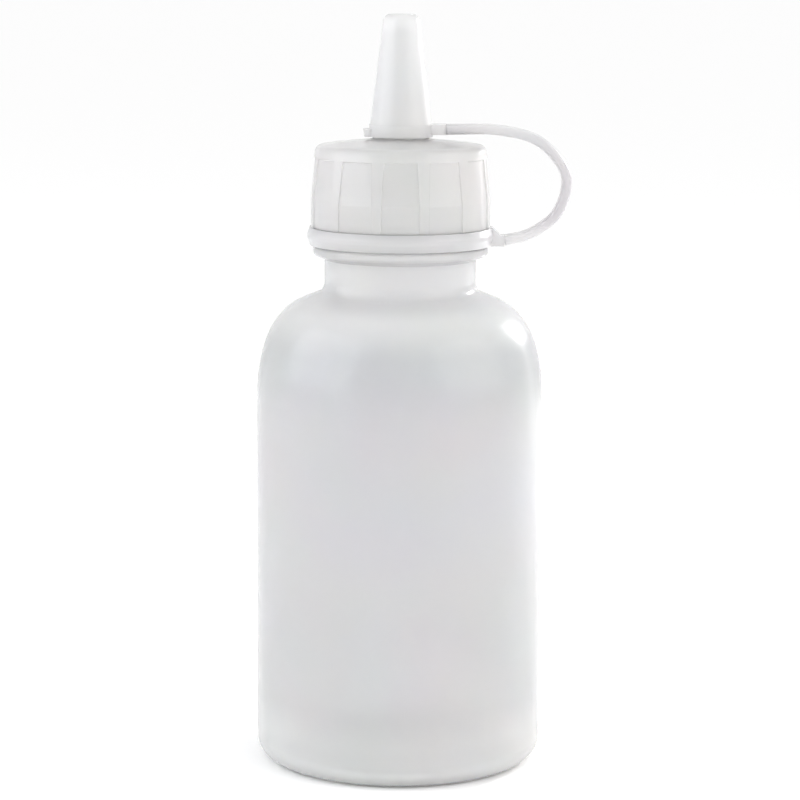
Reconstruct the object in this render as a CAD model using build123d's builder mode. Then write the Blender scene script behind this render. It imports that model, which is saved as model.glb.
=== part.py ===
from build123d import *
import os

# A 60 ml squeeze dropper bottle: blow-moulded bottle, screw cap with a moulded dropper spout, and a
# captive tip cap that hangs by a flexible strap from a ring snapped round the screw cap's skirt.
# Millimetres, +Z up. The origin is the centre of the base, on the bottle's axis, and the strap is at +X.

# ---- bottle body ----
BODY_R = 19.25
WALL = 0.9
HEEL_R = 3.0
FOOT_WIDTH = 1.6
PUSH_UP = 1.3
PUSH_UP_AT_HALF_R = 0.975
SHOULDER_Z = 49.5
SHOULDER_CURVE = [(18.47, 55.85), (17.13, 59.2), (15.1, 61.6)]
SHOULDER_END = (10.97, 63.6)
SHOULDER_END_DIRECTION = (-0.93, 0.37)
SHOULDER_STATIONS = (0.3, 0.55, 0.8, 1)
SEAM_WIDTH = 0.6
SEAM_LENGTH = 16.0
SEAM_BOTTOM_Z = 0.65

# ---- bottle neck ----
NECK_R = 10.15
NECK_Z = 65.1
NECK_BORE_R = 8.5
BEAD_UNDERSIDE_Z = 68.1
BEAD_R = 11.7
BEAD_TOP_Z = 69.95
BEAD_SLOPE_Z = 68.8
BEAD_ROUND = 0.5
FINISH_R = 9.9
RIM_Z = 81.4
RIM_ROUND = 0.35

# ---- thread, right-handed, shared by neck and cap ----
THREAD_PITCH = 3.175
THREAD_BASE = 1.7
THREAD_CREST = 0.8
THREAD_ROOTED = 0.3
NECK_THREAD_R = 10.75
NECK_THREAD_Z = 72.92
NECK_THREAD_TURNS = 1.5
CAP_THREAD_R = 10.2
CAP_THREAD_TURNS = 1.25
CAP_THREAD_RISE = 0.2

# ---- screw cap ----
CAP_R = 12.12
CAP_TOP_R = 11.57
CAP_BORE_R = 10.95
CAP_BORE_TAPER_Z = 79.0
CAP_BORE_TOP_R = 10.5
CAP_BOTTOM_Z = 70.1
CAP_STRAIGHT_Z = 76.0
CAP_RIM_Z = 83.4
CAP_CROWN_Z = 84.0
CAP_CEILING_Z = 82.0
CAP_CORNER = 1.1
CAP_CORNER_R = 11.47
CAP_CORNER_DIRECTION = (-0.1, 1)
CAP_CROWN_DIRECTION = (-1, 0.12)
RIB_COUNT = 12
RIB_ROOT_WIDTH = 1.86
RIB_FLANK_ANGLE = 70
RIB_ROOTED = 0.9
PANEL_DEPTH = 0.15
PANEL_BOTTOM_Z = 72.3
PANEL_TOP_Z = 81.7
GROOVE_R = 11.6
GROOVE_TOP_Z = 72.5
LIP_R = 11.8
LIP_HEIGHT = 0.4
PLUG_R = 8.42
PLUG_WALL = 0.85
PLUG_BOTTOM_Z = 78.4
PLUG_CHAMFER = 0.35

# ---- dropper spout ----
SPOUT_FLARE_R = 4.9
SPOUT_BASE_R = 3.5
SPOUT_BASE_Z = 84.6
SPOUT_TIP_R = 1.5
SPOUT_TIP_Z = 98.2
SPOUT_BASE_DIRECTION = (-0.13, 1)
SPOUT_FUNNEL_R = 3.1
SPOUT_BORE_R = 2.5
SPOUT_BORE_TIP_R = 0.75
SPOUT_BORE_TOP_Z = 96.6
ORIFICE_R = 0.6
ORIFICE_Z = 96.9

# ---- tip cap ----
TIP_CLEARANCE = 0.12
TIP_MOUTH_Z = 84.4
TIP_MOUTH_CHAMFER = 0.25
TIP_FLANGE_Z = 86.05
TIP_FLANGE_R = 4.22
TIP_BOTTOM_R = 4.1
TIP_TOP_R = 2.62
TIP_TAPER_TOP_Z = 98.2
TIP_CROWN_R = 2.38
TIP_CROWN_Z = 100.6
TIP_CROWN_ROUND = 1.1
TIP_FLANGE_ROUND = 0.2
TIP_CEILING_Z = 98.5
PIN_R = 0.5
PIN_LENGTH = 1.9
TAB_REACH = 5.07
TAB_WIDTH = 3.4
TAB_THICK = 1.05
TAB_TAPER = 10

# ---- strap ring ----
RING_INNER_R = 11.68
RING_R = 12.45
RING_EDGE_R = 12.15
RING_RELIEF_R = 11.9
RING_BOTTOM_Z = 70.05
RING_TOP_Z = 72.4
RING_ROUND = 0.5
RING_BULGE_TOP_Z = 71.5
RING_BULGE_BOTTOM_Z = 71.0
RING_RELIEF_TOP_Z = 70.9
RING_RELIEF_BOTTOM_Z = 70.7
LUG_ROOT_X = 11.95
LUG_TOP_X = 12.3
LUG_FLAT_X = 13.4
LUG_END_X = 13.9
LUG_WIDTH = 3.0

# ---- strap ----
STRAP_WIDTH = 2.6
STRAP_THICK = 1.4
STRAP_TIP = (6.0, 85.4)
STRAP_CURVE = [(12.5, 85.38), (17.86, 84.15), (21.13, 81.16), (22.1, 78.1), (20.75, 74.14), (17.33, 71.57)]
STRAP_RING_Z = 70.65
STRAP_EDGE_ROUND = 0.3
STRAP_STATIONS = [station / 10 for station in range(11)]

cap_thread_z = NECK_THREAD_Z - THREAD_PITCH / 2 + CAP_THREAD_RISE


def helical_ridge(root_r, crest_r, start_z, turns):
    """A trapezoid ridge along a right-handed helix, its flanks carried on into the wall it stands on."""
    outward = 1 if crest_r > root_r else -1
    rooted_r = root_r - outward * THREAD_ROOTED
    half_crest = THREAD_CREST / 2
    flank = (THREAD_BASE - THREAD_CREST) / 2 / abs(crest_r - root_r)
    half_rooted = half_crest + flank * abs(crest_r - rooted_r)
    with BuildPart() as ridge:
        with BuildLine() as path:
            Helix(THREAD_PITCH, turns * THREAD_PITCH, root_r, center=(0, 0, start_z))
        with BuildSketch(Plane.XZ):
            with BuildLine():
                Polyline(
                    (rooted_r, start_z - half_rooted),
                    (crest_r, start_z - half_crest),
                    (crest_r, start_z + half_crest),
                    (rooted_r, start_z + half_rooted),
                    close=True,
                )
            make_face()
        sweep(path=path.line, is_frenet=True)
    return ridge.part


def grip_panels():
    """Shallow panels let into the skirt, which leave straight grip ribs standing between them."""
    with BuildPart() as panels:
        with BuildSketch(Plane.XZ):
            with BuildLine():
                Polyline(
                    (CAP_R - PANEL_DEPTH, PANEL_BOTTOM_Z),
                    (CAP_R - PANEL_DEPTH, CAP_STRAIGHT_Z),
                    (CAP_TOP_R - PANEL_DEPTH, PANEL_TOP_Z - PANEL_DEPTH),
                    (CAP_TOP_R + PANEL_DEPTH, PANEL_TOP_Z + PANEL_DEPTH),
                    (CAP_R + RIB_ROOTED, PANEL_TOP_Z + PANEL_DEPTH),
                    (CAP_R + RIB_ROOTED, PANEL_BOTTOM_Z),
                    close=True,
                )
            make_face()
        revolve(axis=Axis.Z)
        with BuildSketch(Plane.XY.offset(PANEL_BOTTOM_Z)):
            with PolarLocations(CAP_R, RIB_COUNT, start_angle=180 / RIB_COUNT):
                Trapezoid(RIB_ROOT_WIDTH, 2 * RIB_ROOTED, RIB_FLANK_ANGLE, rotation=-90)
        extrude(amount=PANEL_TOP_Z + PANEL_DEPTH - PANEL_BOTTOM_Z, mode=Mode.SUBTRACT)
    return panels.part


neck_ridge = helical_ridge(FINISH_R, NECK_THREAD_R, NECK_THREAD_Z, NECK_THREAD_TURNS)
cap_ridge = helical_ridge(CAP_BORE_R, CAP_THREAD_R, cap_thread_z, CAP_THREAD_TURNS)
skirt_panels = grip_panels()

# ---- bottle: outer skin, thread, base seam, then the cavity ----
foot_r = BODY_R - HEEL_R
push_up_r = foot_r - FOOT_WIDTH
with BuildPart() as bottle:
    with BuildSketch(Plane.XZ):
        with BuildLine():
            dome = ThreePointArc((0, PUSH_UP), (push_up_r / 2, PUSH_UP_AT_HALF_R), (push_up_r, 0))
            foot = Line(dome @ 1, (foot_r, 0))
            heel = JernArc(foot @ 1, (1, 0), HEEL_R, 90)
            side = Line(heel @ 1, (BODY_R, SHOULDER_Z))
            shoulder = Spline(
                side @ 1,
                *SHOULDER_CURVE,
                SHOULDER_END,
                tangents=[(0, 1), SHOULDER_END_DIRECTION],
            )
            neck_root = Spline(
                shoulder @ 1, (NECK_R, NECK_Z), tangents=[SHOULDER_END_DIRECTION, (0, 1)]
            )
            Polyline(
                neck_root @ 1,
                (NECK_R, BEAD_UNDERSIDE_Z),
                (BEAD_R, BEAD_SLOPE_Z),
                (BEAD_R, BEAD_TOP_Z),
                (FINISH_R, BEAD_TOP_Z),
                (FINISH_R, RIM_Z - RIM_ROUND),
                (FINISH_R - RIM_ROUND, RIM_Z),
                (0, RIM_Z),
                (0, PUSH_UP),
            )
        section = make_face()
        bead_corners = section.vertices().filter_by_position(Axis.X, BEAD_R - 0.01, BEAD_R + 0.01)
        fillet(bead_corners, BEAD_ROUND)
    revolve(axis=Axis.Z)
    add(neck_ridge)
    with BuildSketch(Plane.XY.offset(SEAM_BOTTOM_Z)):
        Rectangle(SEAM_LENGTH, SEAM_WIDTH)
    extrude(amount=PUSH_UP - SEAM_BOTTOM_Z + WALL / 2)
    with BuildSketch(Plane.XZ):
        with BuildLine():
            inner_dome = ThreePointArc(
                (0, PUSH_UP + WALL), (push_up_r / 2, PUSH_UP_AT_HALF_R + WALL), (push_up_r, WALL)
            )
            inner_foot = Line(inner_dome @ 1, (foot_r, WALL))
            inner_heel = JernArc(inner_foot @ 1, (1, 0), HEEL_R - WALL, 90)
            inner_side = Line(inner_heel @ 1, (BODY_R - WALL, SHOULDER_Z))
            inner_points = [
                shoulder @ u + Vector(0, 0, 1).cross(shoulder % u) * WALL
                for u in SHOULDER_STATIONS
            ]
            inner_shoulder = Spline(
                inner_side @ 1, *inner_points, tangents=[(0, 1), SHOULDER_END_DIRECTION]
            )
            throat = Spline(
                inner_shoulder @ 1,
                (NECK_BORE_R, NECK_Z + WALL),
                tangents=[SHOULDER_END_DIRECTION, (0, 1)],
            )
            Polyline(
                throat @ 1,
                (NECK_BORE_R, RIM_Z - RIM_ROUND),
                (NECK_BORE_R + RIM_ROUND, RIM_Z),
                (0, RIM_Z),
                (0, PUSH_UP + WALL),
            )
        make_face()
    revolve(axis=Axis.Z, mode=Mode.SUBTRACT)

# ---- screw cap: skirt and crown with the spout, the hollows, the thread, then the grip panels ----
with BuildPart() as screw_cap:
    with BuildSketch(Plane.XZ):
        with BuildLine():
            skirt = Polyline(
                (0, CAP_BOTTOM_Z),
                (LIP_R, CAP_BOTTOM_Z),
                (LIP_R, CAP_BOTTOM_Z + LIP_HEIGHT),
                (GROOVE_R, CAP_BOTTOM_Z + LIP_HEIGHT + LIP_R - GROOVE_R),
                (GROOVE_R, GROOVE_TOP_Z),
                (CAP_R, GROOVE_TOP_Z),
                (CAP_R, CAP_STRAIGHT_Z),
                (CAP_TOP_R, PANEL_TOP_Z),
            )
            corner_start = Line(skirt @ 1, (CAP_CORNER_R, CAP_RIM_Z - CAP_CORNER))
            corner = Spline(
                corner_start @ 1,
                (CAP_TOP_R - CAP_CORNER, CAP_RIM_Z),
                tangents=[CAP_CORNER_DIRECTION, CAP_CROWN_DIRECTION],
            )
            crown = Line(corner @ 1, (SPOUT_FLARE_R, CAP_CROWN_Z))
            flare = Spline(
                crown @ 1,
                (SPOUT_BASE_R, SPOUT_BASE_Z),
                tangents=[CAP_CROWN_DIRECTION, SPOUT_BASE_DIRECTION],
            )
            Polyline(
                flare @ 1,
                (SPOUT_TIP_R, SPOUT_TIP_Z),
                (0, SPOUT_TIP_Z),
                (0, CAP_BOTTOM_Z),
            )
        make_face()
    revolve(axis=Axis.Z)
    with BuildSketch(Plane.XZ):
        with BuildLine():
            Polyline(
                (0, CAP_BOTTOM_Z),
                (CAP_BORE_R, CAP_BOTTOM_Z),
                (CAP_BORE_R, CAP_BORE_TAPER_Z),
                (CAP_BORE_TOP_R, CAP_CEILING_Z),
                (PLUG_R, CAP_CEILING_Z),
                (PLUG_R, PLUG_BOTTOM_Z + PLUG_CHAMFER),
                (PLUG_R - PLUG_CHAMFER, PLUG_BOTTOM_Z),
                (PLUG_R - PLUG_WALL, PLUG_BOTTOM_Z),
                (PLUG_R - PLUG_WALL, CAP_CEILING_Z),
                (SPOUT_FUNNEL_R, CAP_CEILING_Z),
                (SPOUT_BORE_R, CAP_CROWN_Z),
                (SPOUT_BORE_TIP_R, SPOUT_BORE_TOP_Z),
                (ORIFICE_R, ORIFICE_Z),
                (ORIFICE_R, SPOUT_TIP_Z),
                (0, SPOUT_TIP_Z),
                close=True,
            )
        make_face()
    revolve(axis=Axis.Z, mode=Mode.SUBTRACT)
    add(cap_ridge)
    add(skirt_panels, mode=Mode.SUBTRACT)

# ---- tip cap: tapered cone with a flange, pull tab, strap stub and sealing pin ----
spout_slope = (SPOUT_BASE_R - SPOUT_TIP_R) / (SPOUT_TIP_Z - SPOUT_BASE_Z)
mouth_r = SPOUT_BASE_R + TIP_CLEARANCE - spout_slope * (TIP_MOUTH_Z - SPOUT_BASE_Z)
ceiling_r = SPOUT_TIP_R + TIP_CLEARANCE
with BuildPart() as tip_cap:
    with BuildSketch(Plane.XZ):
        with BuildLine():
            Polyline(
                (0, TIP_MOUTH_Z),
                (TIP_FLANGE_R, TIP_MOUTH_Z),
                (TIP_FLANGE_R, TIP_FLANGE_Z),
                (TIP_BOTTOM_R, TIP_FLANGE_Z),
                (TIP_TOP_R, TIP_TAPER_TOP_Z),
                (TIP_CROWN_R, TIP_CROWN_Z),
                (0, TIP_CROWN_Z),
                close=True,
            )
        section = make_face()
        fillet(section.vertices().group_by(Axis.Y)[-1].sort_by(Axis.X)[-1], TIP_CROWN_ROUND)
        fillet(section.vertices().group_by(Axis.X)[-1], TIP_FLANGE_ROUND)
    revolve(axis=Axis.Z)
    strap_tip_x, strap_tip_z = STRAP_TIP
    with BuildSketch(Plane.XY.offset(strap_tip_z - STRAP_THICK / 2)):
        with Locations((strap_tip_x / 2, 0)):
            Rectangle(strap_tip_x, STRAP_WIDTH)
    extrude(amount=STRAP_THICK)
    tab_spacing = TAB_REACH - TAB_WIDTH / 2
    with BuildSketch(Plane.XY.offset(TIP_MOUTH_Z + TAB_THICK)):
        with Locations((-tab_spacing / 2, 0)):
            SlotCenterToCenter(tab_spacing, TAB_WIDTH)
    extrude(amount=-TAB_THICK, taper=TAB_TAPER)
    with BuildSketch(Plane.XZ):
        with BuildLine():
            Polyline(
                (0, TIP_MOUTH_Z),
                (mouth_r + TIP_MOUTH_CHAMFER, TIP_MOUTH_Z),
                (mouth_r, TIP_MOUTH_Z + TIP_MOUTH_CHAMFER),
                (ceiling_r, TIP_CEILING_Z),
                (PIN_R, TIP_CEILING_Z),
                (PIN_R, TIP_CEILING_Z - PIN_LENGTH + PIN_R / 2),
                (PIN_R / 2, TIP_CEILING_Z - PIN_LENGTH),
                (0, TIP_CEILING_Z - PIN_LENGTH),
                close=True,
            )
        make_face()
    revolve(axis=Axis.Z, mode=Mode.SUBTRACT)

# ---- strap ring: a band held in the skirt's groove, with the lug that the strap grows from ----
with BuildPart() as strap_ring:
    with BuildSketch(Plane.XZ):
        with BuildLine():
            Polyline(
                (0, RING_TOP_Z),
                (RING_EDGE_R, RING_TOP_Z),
                (RING_R, RING_BULGE_TOP_Z),
                (RING_R, RING_BULGE_BOTTOM_Z),
                (RING_EDGE_R, RING_BOTTOM_Z),
                (0, RING_BOTTOM_Z),
                close=True,
            )
        section = make_face()
        fillet(section.vertices().group_by(Axis.X)[-1], RING_ROUND)
    revolve(axis=Axis.Z)
    with BuildSketch(Plane.XZ):
        with BuildLine():
            Polyline(
                (LUG_ROOT_X, RING_TOP_Z),
                (LUG_TOP_X, RING_TOP_Z),
                (LUG_FLAT_X, STRAP_RING_Z + STRAP_THICK / 2),
                (LUG_END_X, STRAP_RING_Z + STRAP_THICK / 2),
                (LUG_END_X, STRAP_RING_Z - STRAP_THICK / 2),
                (LUG_ROOT_X, STRAP_RING_Z - STRAP_THICK / 2),
                close=True,
            )
        make_face()
    extrude(amount=LUG_WIDTH / 2, both=True)
    with BuildSketch(Plane.XZ):
        with BuildLine():
            Polyline(
                (0, RING_TOP_Z),
                (RING_INNER_R, RING_TOP_Z),
                (RING_INNER_R, RING_RELIEF_TOP_Z),
                (RING_RELIEF_R, RING_RELIEF_BOTTOM_Z),
                (RING_RELIEF_R, RING_BOTTOM_Z),
                (0, RING_BOTTOM_Z),
                close=True,
            )
        make_face()
    revolve(axis=Axis.Z, mode=Mode.SUBTRACT)

# ---- strap: one flat band, its middle line bent round in a loop ----
with BuildPart() as strap:
    with BuildSketch(Plane.XZ):
        with BuildLine():
            middle = Spline(
                STRAP_TIP,
                *STRAP_CURVE,
                (LUG_END_X, STRAP_RING_Z),
                tangents=[(1, 0), (-1, 0)],
                mode=Mode.PRIVATE,
            )
            across = [Vector(0, 0, 1).cross(middle % u) * STRAP_THICK / 2 for u in STRAP_STATIONS]
            outer_points = [middle @ u + step for u, step in zip(STRAP_STATIONS, across)]
            inner_points = [middle @ u - step for u, step in zip(STRAP_STATIONS, across)]
            outer_edge = Spline(*outer_points, tangents=[middle % 0, middle % 1])
            inner_edge = Spline(*inner_points, tangents=[middle % 0, middle % 1])
            Line(outer_edge @ 0, inner_edge @ 0)
            Line(outer_edge @ 1, inner_edge @ 1)
        make_face()
    extrude(amount=STRAP_WIDTH / 2, both=True)
    long_edges = edges().filter_by(GeomType.BSPLINE)
    fillet(long_edges, STRAP_EDGE_ROUND)

# ---- labels and files ----
os.makedirs("parts", exist_ok=True)
pieces = {
    "bottle": bottle,
    "screw_cap": screw_cap,
    "strap_ring": strap_ring,
    "strap": strap,
    "tip_cap": tip_cap,
}
for name, builder in pieces.items():
    builder.part.label = name
    export_step(builder.part, f"parts/{name}.step")
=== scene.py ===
import math

import bmesh
import bpy
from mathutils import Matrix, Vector


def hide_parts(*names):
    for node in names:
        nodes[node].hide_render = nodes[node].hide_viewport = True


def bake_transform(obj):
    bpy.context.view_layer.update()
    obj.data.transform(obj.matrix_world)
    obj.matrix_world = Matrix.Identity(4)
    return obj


MM = 0.001

# Camera: distance, height of the point it looks at, elevation and scale of the view.
CAMERA_DISTANCE = 0.387
CAMERA_TARGET_X = 0.00006
CAMERA_TARGET_Z = 0.04894
CAMERA_ELEVATION = math.radians(9.0)
CAMERA_ROLL = math.radians(0.3)
SENSOR_WIDTH = 36.0
VIEW_WIDTH = 0.1079
CLIP_START = 0.01
CLIP_END = 20.0

# Strap: its middle line in the XZ plane, as in the CAD model, and its section.
STRAP_ROUTE = [
    (6.0, 85.4),
    (12.5, 85.38),
    (17.86, 84.15),
    (21.13, 81.16),
    (22.1, 78.1),
    (20.75, 74.14),
    (17.33, 71.57),
    (13.9, 70.65),
]
STRAP_WIDTH = 2.6 * MM
STRAP_THICK = 1.4 * MM
STRAP_ROOT_SPREAD = 0.15
STRAP_ROOT_SHARPNESS = 12
STRAP_STEPS_PER_SPAN = 24
STRAP_SECTION_POINTS = 20
STRAP_SECTION_SQUARENESS = 4.0

# Plastic: refraction, cloudy patches, moulded grain, scattering inside and the smoother skin.
PLASTIC_IOR = 1.51
CLOUD_MM = 14.0
CLOUD_DETAIL = 3.0
CLOUD_DEPTH = 0.08
GRAIN_DETAIL = 2.0
GRAIN_GLOSS_CHANGE = 0.15
BUMP_STRENGTH = 0.5
SCATTER_DEPTH = 3.0 * MM
SCATTER_SHARE = (1.0, 0.97, 0.92)
SKIN_ROUGHNESS = 0.1

# Wall colours by height in mm. The bottle's and the tip cap's hold painted light and painted shade; the
# cap is near white and faintly warm; the strap is grey along its band and paler at the strap ring.
# Bottle: painted light, paler at the base and at the top of the shoulder and neck to lift the shade
# there; painted shade, a cooler darker band under the shoulder.
BOTTLE_PAINTED_LIGHT_AND_SHADE = [
    (0.0, (0.99, 0.985, 0.98)),
    (5.0, (0.94, 0.936, 0.935)),
    (10.5, (0.80, 0.796, 0.802)),
    (45.0, (0.80, 0.798, 0.81)),
    (56.5, (0.752, 0.767, 0.78)),
    (61.5, (0.98, 0.98, 0.98)),
    (66.0, (0.965, 0.965, 0.965)),
]
CAP_SHADES = [(70.0, (1.0, 0.994, 0.984)), (82.0, (1.0, 0.993, 0.98)), (98.0, (0.98, 0.976, 0.97))]
STRAP_SHADES = [
    (70.0, (0.89, 0.886, 0.885)),
    (74.0, (0.66, 0.655, 0.67)),
    (83.5, (0.66, 0.655, 0.67)),
    (86.0, (0.76, 0.756, 0.76)),
]
# Tip cap: painted light, paler at the flange to lift the shade under it; painted shade, darker towards
# the top where the light from above falls.
TIP_PAINTED_LIGHT_AND_SHADE = [
    (84.4, (1.0, 0.99, 0.98)),
    (86.0, (0.98, 0.972, 0.96)),
    (90.0, (0.935, 0.929, 0.92)),
    (97.0, (0.92, 0.915, 0.907)),
    (100.6, (0.80, 0.797, 0.792)),
]

# Studio: an even sky and a matt floor.
SKY_COLOUR = (1.0, 1.0, 1.0)
SKY_STRENGTH = 1.0
FLOOR_SIZE = 12.0
FLOOR_COLOUR = (0.98, 0.98, 0.98)
FLOOR_ROUGHNESS = 0.9
FLOOR_SHINE = 0.1

# Lights: azimuth and elevation in degrees, distance, width and height in metres, watts, colour.
LIGHTS = {
    "box_left": (-72, 24, 0.5, (0.6, 0.42), 1.2, (0.95, 0.97, 1.0)),
    "box_right": (62, 24, 0.5, (0.5, 0.42), 0.88, (1.0, 0.99, 0.97)),
    "strip_right": (129, 0, 0.36, (0.03, 0.30), 0.045, (1.0, 1.0, 1.0)),
    "spot_right": (133, 17, 0.36, (0.03, 0.07), 0.58, (1.0, 1.0, 1.0)),
}
LIGHTS_AIM = Vector((0, 0, 0.06))

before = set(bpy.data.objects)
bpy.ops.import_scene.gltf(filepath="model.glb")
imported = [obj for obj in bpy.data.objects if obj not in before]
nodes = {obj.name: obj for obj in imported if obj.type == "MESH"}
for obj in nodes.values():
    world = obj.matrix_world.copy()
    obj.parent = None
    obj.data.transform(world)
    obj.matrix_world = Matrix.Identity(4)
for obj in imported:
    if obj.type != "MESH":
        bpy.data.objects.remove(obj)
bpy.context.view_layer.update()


def make_camera():
    """A long lens a little above the bottle, looking along +Y."""
    data = bpy.data.cameras.new("camera")
    data.sensor_width = SENSOR_WIDTH
    data.lens = SENSOR_WIDTH * CAMERA_DISTANCE / VIEW_WIDTH
    data.clip_start = CLIP_START
    data.clip_end = CLIP_END
    camera = bpy.data.objects.new("camera", data)
    bpy.context.collection.objects.link(camera)
    back = Vector((0, -math.cos(CAMERA_ELEVATION), math.sin(CAMERA_ELEVATION)))
    camera.location = Vector((CAMERA_TARGET_X, 0, CAMERA_TARGET_Z)) + back * CAMERA_DISTANCE
    aim = (-back).to_track_quat("-Z", "Y").to_matrix()
    camera.rotation_euler = aim.to_euler()
    camera.rotation_euler.rotate_axis("Z", CAMERA_ROLL)
    bpy.context.scene.camera = camera


def catmull_rom(points, steps):
    """A smooth curve through every point, as evenly stepped positions."""
    ends = [2 * points[0] - points[1]] + points + [2 * points[-1] - points[-2]]
    curve = []
    for p0, p1, p2, p3 in zip(ends, ends[1:], ends[2:], ends[3:]):
        for step in range(steps):
            t = step / steps
            curve.append(
                0.5
                * (
                    2 * p1
                    + (p2 - p0) * t
                    + (2 * p0 - 5 * p1 + 4 * p2 - p3) * t**2
                    + (3 * p1 - p0 - 3 * p2 + p3) * t**3
                )
            )
    curve.append(points[-1])
    return curve


def section_point(turn, half_width, half_thick):
    """A point of a rounded rectangle at this share of a turn."""
    c, s = math.cos(math.tau * turn), math.sin(math.tau * turn)
    power = 2 / STRAP_SECTION_SQUARENESS
    return (
        math.copysign(abs(c) ** power, c) * half_width,
        math.copysign(abs(s) ** power, s) * half_thick,
    )


def make_strap():
    """A flat band with rounded edges, spread a little at its roots."""
    route = catmull_rom([Vector((x, 0, z)) * MM for x, z in STRAP_ROUTE], STRAP_STEPS_PER_SPAN)
    mesh = bmesh.new()
    rings = []
    last = len(route) - 1
    for index, centre in enumerate(route):
        along = (route[min(index + 1, last)] - route[max(index - 1, 0)]).normalized()
        across = along.cross(Vector((0, 1, 0)))
        from_middle = abs(2 * index / last - 1)
        half_width = STRAP_WIDTH / 2 * (1 + STRAP_ROOT_SPREAD * from_middle**STRAP_ROOT_SHARPNESS)
        ring = []
        for corner in range(STRAP_SECTION_POINTS):
            side, up = section_point(corner / STRAP_SECTION_POINTS, half_width, STRAP_THICK / 2)
            ring.append(mesh.verts.new(centre + Vector((0, side, 0)) + across * up))
        rings.append(ring)
    for ring, following in zip(rings, rings[1:]):
        for corner in range(STRAP_SECTION_POINTS):
            beside = (corner + 1) % STRAP_SECTION_POINTS
            mesh.faces.new((ring[corner], ring[beside], following[beside], following[corner]))
    mesh.faces.new(rings[0])
    mesh.faces.new(reversed(rings[-1]))
    bmesh.ops.recalc_face_normals(mesh, faces=mesh.faces)
    data = bpy.data.meshes.new("strap_band")
    mesh.to_mesh(data)
    mesh.free()
    for face in data.polygons:
        face.use_smooth = len(face.vertices) == 4
    band = bpy.data.objects.new("strap_band", data)
    bpy.context.collection.objects.link(band)
    return band


def noise(tree, size_mm, detail, stretch=(1, 1, 1)):
    """A soft noise texture with features of this size in the object's own space."""
    place = tree.nodes.new("ShaderNodeTexCoord")
    scale = tree.nodes.new("ShaderNodeMapping")
    scale.inputs["Scale"].default_value = stretch
    texture = tree.nodes.new("ShaderNodeTexNoise")
    texture.inputs["Scale"].default_value = 1 / (size_mm * MM)
    texture.inputs["Detail"].default_value = detail
    tree.links.new(place.outputs["Object"], scale.inputs["Vector"])
    tree.links.new(scale.outputs["Vector"], texture.inputs["Vector"])
    return texture


def shade_by_height(tree, shades):
    """A colour that changes with height, smoothly from one (height, colour) to the next."""
    lowest, highest = shades[0][0], shades[-1][0]
    place = tree.nodes.new("ShaderNodeTexCoord")
    split = tree.nodes.new("ShaderNodeSeparateXYZ")
    share = tree.nodes.new("ShaderNodeMapRange")
    share.inputs["From Min"].default_value = lowest * MM
    share.inputs["From Max"].default_value = highest * MM
    ramp = tree.nodes.new("ShaderNodeValToRGB")
    ramp.color_ramp.interpolation = "EASE"
    stops = ramp.color_ramp.elements
    while len(stops) < len(shades):
        stops.new(0.5)
    for stop, (height, colour) in zip(stops, shades):
        stop.position = (height - lowest) / (highest - lowest)
        stop.color = (*colour, 1)
    tree.links.new(place.outputs["Object"], split.inputs["Vector"])
    tree.links.new(split.outputs["Z"], share.inputs["Value"])
    tree.links.new(share.outputs["Result"], ramp.inputs["Fac"])
    return ramp.outputs["Color"]


def ldpe(
    name,
    shades,
    roughness,
    transmission,
    scatter,
    skin=0.4,
    shine=0.5,
    grain_mm=0.6,
    bump_mm=0.006,
    stretch=(1, 1, 1),
):
    """Milky moulded polyethylene: clouded and light-scattering inside, with a smoother skin over it."""
    material = bpy.data.materials.new(name)
    material.use_nodes = True
    tree = material.node_tree
    shader = tree.nodes["Principled BSDF"]
    shader.inputs["IOR"].default_value = PLASTIC_IOR
    shader.inputs["Specular IOR Level"].default_value = shine
    shader.inputs["Transmission Weight"].default_value = transmission
    shader.inputs["Subsurface Weight"].default_value = scatter
    shader.inputs["Subsurface Radius"].default_value = SCATTER_SHARE
    shader.inputs["Subsurface Scale"].default_value = SCATTER_DEPTH
    shader.inputs["Coat Weight"].default_value = skin
    shader.inputs["Coat Roughness"].default_value = SKIN_ROUGHNESS
    cloud = tree.nodes.new("ShaderNodeMix")
    cloud.data_type = "RGBA"
    cloud.blend_type = "MULTIPLY"
    cloud.inputs["Factor"].default_value = CLOUD_DEPTH
    # Base colour by height: on the bottle and the tip cap this holds painted light and painted shade.
    tree.links.new(shade_by_height(tree, shades), cloud.inputs["A"])
    tree.links.new(noise(tree, CLOUD_MM, CLOUD_DETAIL).outputs["Color"], cloud.inputs["B"])
    tree.links.new(cloud.outputs["Result"], shader.inputs["Base Color"])
    grain = noise(tree, grain_mm, GRAIN_DETAIL, stretch).outputs["Fac"]
    gloss = tree.nodes.new("ShaderNodeMapRange")
    gloss.inputs["To Min"].default_value = roughness * (1 - GRAIN_GLOSS_CHANGE)
    gloss.inputs["To Max"].default_value = roughness * (1 + GRAIN_GLOSS_CHANGE)
    tree.links.new(grain, gloss.inputs["Value"])
    tree.links.new(gloss.outputs["Result"], shader.inputs["Roughness"])
    bump = tree.nodes.new("ShaderNodeBump")
    bump.inputs["Strength"].default_value = BUMP_STRENGTH
    bump.inputs["Distance"].default_value = bump_mm * MM
    tree.links.new(grain, bump.inputs["Height"])
    tree.links.new(bump.outputs["Normal"], shader.inputs["Normal"])
    tree.links.new(bump.outputs["Normal"], shader.inputs["Coat Normal"])
    return material


def dress(piece, material):
    """Gives every face of a piece one material."""
    piece.data.materials.clear()
    piece.data.materials.append(material)


def area_light(name, position, target, size, power, colour):
    """A soft rectangular light at a position, facing a target."""
    data = bpy.data.lights.new(name, "AREA")
    data.shape = "RECTANGLE"
    data.size, data.size_y = size
    data.energy = power
    data.color = colour
    light = bpy.data.objects.new(name, data)
    bpy.context.collection.objects.link(light)
    light.location = position
    facing = Vector(target) - Vector(position)
    light.rotation_euler = facing.to_track_quat("-Z", "Y").to_euler()


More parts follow.
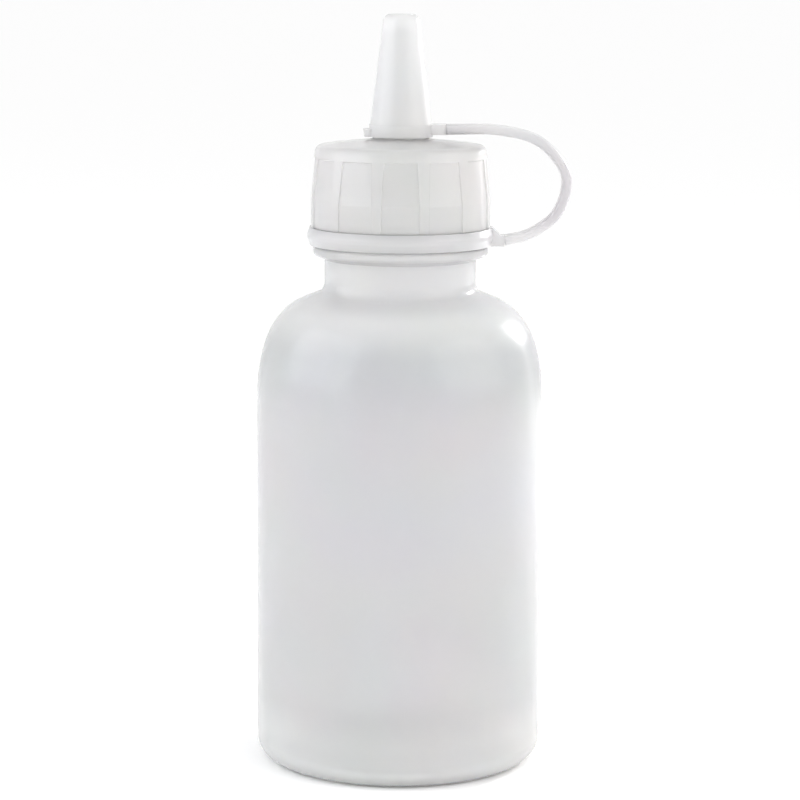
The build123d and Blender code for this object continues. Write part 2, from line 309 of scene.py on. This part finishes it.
def make_sky():
    """An even pale sky, shown with plain display colours."""
    scene = bpy.context.scene
    scene.view_settings.view_transform = "Standard"
    world = bpy.data.worlds.new("world")
    scene.world = world
    world.use_nodes = True
    sky = world.node_tree.nodes["Background"]
    sky.inputs["Color"].default_value = (*SKY_COLOUR, 1)
    sky.inputs["Strength"].default_value = SKY_STRENGTH


def make_floor():
    """A plain pale matt floor."""
    bpy.ops.mesh.primitive_plane_add(size=FLOOR_SIZE, location=(0, 0, 0))
    floor = bpy.context.object
    floor.name = "floor"
    pale = bpy.data.materials.new("floor_pale")
    pale.use_nodes = True
    paint = pale.node_tree.nodes["Principled BSDF"]
    paint.inputs["Base Color"].default_value = (*FLOOR_COLOUR, 1)
    paint.inputs["Roughness"].default_value = FLOOR_ROUGHNESS
    paint.inputs["Specular IOR Level"].default_value = FLOOR_SHINE
    floor.data.materials.append(pale)


def make_studio():
    """A plain pale floor and an even pale sky, a softbox each side and two lights at the back right."""
    make_sky()
    make_floor()
    for name, (azimuth, elevation, distance, size, power, colour) in LIGHTS.items():
        turn, rise = math.radians(azimuth), math.radians(elevation)
        level = Vector((math.sin(turn), -math.cos(turn), 0)) * math.cos(rise)
        away = level + Vector((0, 0, math.sin(rise)))
        area_light(name, LIGHTS_AIM + away * distance, LIGHTS_AIM, size, power, colour)


make_camera()
make_studio()

bottle_plastic = ldpe(
    "ldpe_bottle",
    BOTTLE_PAINTED_LIGHT_AND_SHADE,
    roughness=0.23,
    transmission=0.58,
    scatter=0.6,
    skin=0.15,
    shine=0.45,
    grain_mm=0.9,
    bump_mm=0.012,
    stretch=(1, 1, 0.35),
)
cap_plastic = ldpe("ldpe_cap", CAP_SHADES, roughness=0.33, transmission=0.59, scatter=0.5)
strap_plastic = ldpe("ldpe_strap", STRAP_SHADES, roughness=0.33, transmission=0.42, scatter=0.55)
tip_plastic = ldpe("ldpe_tip", TIP_PAINTED_LIGHT_AND_SHADE, roughness=0.33, transmission=0.42, scatter=0.5)

dress(nodes["bottle"], bottle_plastic)
dress(nodes["screw_cap"], cap_plastic)
dress(nodes["strap_ring"], strap_plastic)
dress(nodes["tip_cap"], tip_plastic)

strap_band = make_strap()
dress(strap_band, strap_plastic)
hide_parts("strap")
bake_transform(strap_band)
